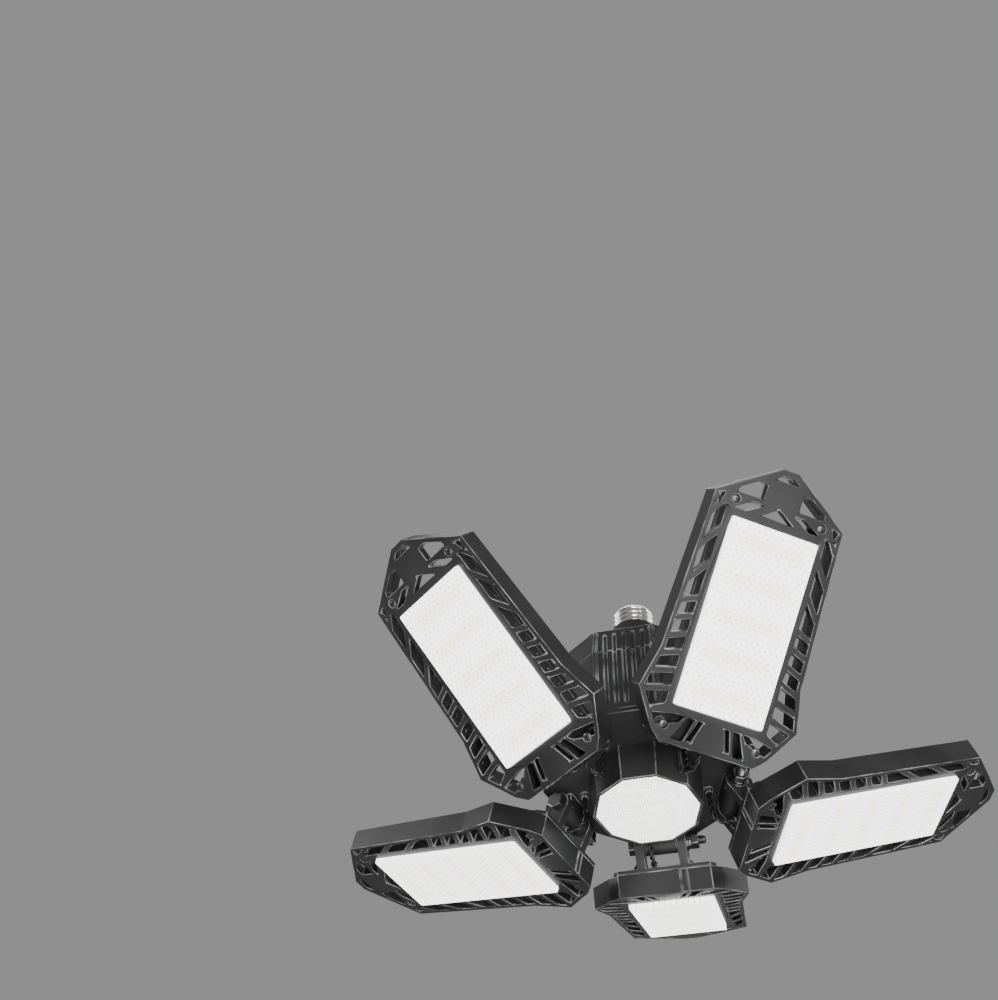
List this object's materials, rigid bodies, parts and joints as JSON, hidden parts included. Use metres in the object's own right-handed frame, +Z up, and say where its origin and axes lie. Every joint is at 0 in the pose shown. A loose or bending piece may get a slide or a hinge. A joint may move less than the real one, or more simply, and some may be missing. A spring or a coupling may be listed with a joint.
{
  "type": "deformable garage light",
  "caption": "Screw-in ceiling light with a ten-sided driver housing, a central lens and grille-framed light panels that tilt on bolted hinges around it.",
  "frame": {"origin": "on the lamp's axis, where the screw shell meets the top of the neck", "axes": "+Z up through the screw base towards the lampholder; panel 1 points at 18 degrees from +X, the others follow every 72 degrees counter-clockwise from above"},
  "size_m": [0.3605, 0.334, 0.1678],
  "materials": {
    "plated_shell": "bright nickel plate",
    "insulator": "glossy black",
    "contact": "tinned",
    "black_housing": "fine moulded texture",
    "black_frame": "fine moulded texture",
    "black_casting": "black powder coat",
    "steel_fastener": "blackened",
    "hinge_steel": "dark zinc",
    "prismatic_lens": "clear prismatic, milky",
    "white_board": "white solder mask",
    "led_phosphor": "yellow phosphor",
    "circuit_board": "green solder mask",
    "driver_component": "sleeved",
    "cable_sheath": "smooth"
  },
  "bodies": {
    "lamp": {"screw_shell": "plated_shell", "base_insulator": "insulator", "centre_contact": "contact", "neck_collar": "black_housing", "housing_cap": "black_housing", "housing_body": "black_housing", "housing_screws": "steel_fastener", "driver_board": "circuit_board", "driver_parts": "driver_component", "hub_plate": "black_casting", "centre_cup": "black_housing", "centre_led_board": "white_board", "centre_led_chips": "led_phosphor", "centre_lens": "prismatic_lens", "cable_1": "cable_sheath", "cable_2": "cable_sheath", "cable_3": "cable_sheath", "cable_4": "cable_sheath", "cable_5": "cable_sheath"},
    "panel_1": {"panel_frame_1": "black_frame", "heat_sink_1": "black_casting", "frame_screws_1": "steel_fastener", "diffuser_1": "prismatic_lens", "led_board_1": "white_board", "led_chips_1": "led_phosphor", "hinge_bolt_1": "hinge_steel", "hinge_nut_1": "hinge_steel"},
    "panel_2": {"panel_frame_2": "black_frame", "heat_sink_2": "black_casting", "frame_screws_2": "steel_fastener", "diffuser_2": "prismatic_lens", "led_board_2": "white_board", "led_chips_2": "led_phosphor", "hinge_bolt_2": "hinge_steel", "hinge_nut_2": "hinge_steel"},
    "panel_3": {"panel_frame_3": "black_frame", "heat_sink_3": "black_casting", "frame_screws_3": "steel_fastener", "diffuser_3": "prismatic_lens", "led_board_3": "white_board", "led_chips_3": "led_phosphor", "hinge_bolt_3": "hinge_steel", "hinge_nut_3": "hinge_steel"},
    "panel_4": {"panel_frame_4": "black_frame", "heat_sink_4": "black_casting", "frame_screws_4": "steel_fastener", "diffuser_4": "prismatic_lens", "led_board_4": "white_board", "led_chips_4": "led_phosphor", "hinge_bolt_4": "hinge_steel", "hinge_nut_4": "hinge_steel"},
    "panel_5": {"panel_frame_5": "black_frame", "heat_sink_5": "black_casting", "frame_screws_5": "steel_fastener", "diffuser_5": "prismatic_lens", "led_board_5": "white_board", "led_chips_5": "led_phosphor", "hinge_bolt_5": "hinge_steel", "hinge_nut_5": "hinge_steel"}
  },
  "joints": [
    {"name": "panel_1_tilt", "type": "hinge", "parent": "lamp", "child": "panel_1", "pos_m": [0.04375, 0.01421, -0.117], "axis": [0.309, -0.9511, 0], "range_deg": [-17, 68], "deforming": ["cable_1"]},
    {"name": "panel_2_tilt", "type": "hinge", "parent": "lamp", "child": "panel_2", "pos_m": [0, 0.046, -0.117], "axis": [1, 0, 0], "range_deg": [-23, 62], "deforming": ["cable_2"]},
    {"name": "panel_3_tilt", "type": "hinge", "parent": "lamp", "child": "panel_3", "pos_m": [-0.04375, 0.01421, -0.117], "axis": [0.309, 0.9511, 0], "range_deg": [-13, 72], "deforming": ["cable_3"]},
    {"name": "panel_4_tilt", "type": "hinge", "parent": "lamp", "child": "panel_4", "pos_m": [-0.02704, -0.03721, -0.117], "axis": [-0.809, 0.5878, 0], "range_deg": [-37, 48], "deforming": ["cable_4"]},
    {"name": "panel_5_tilt", "type": "hinge", "parent": "lamp", "child": "panel_5", "pos_m": [0.02704, -0.03721, -0.117], "axis": [-0.809, -0.5878, 0], "range_deg": [-40, 45], "deforming": ["cable_5"]}
  ]
}
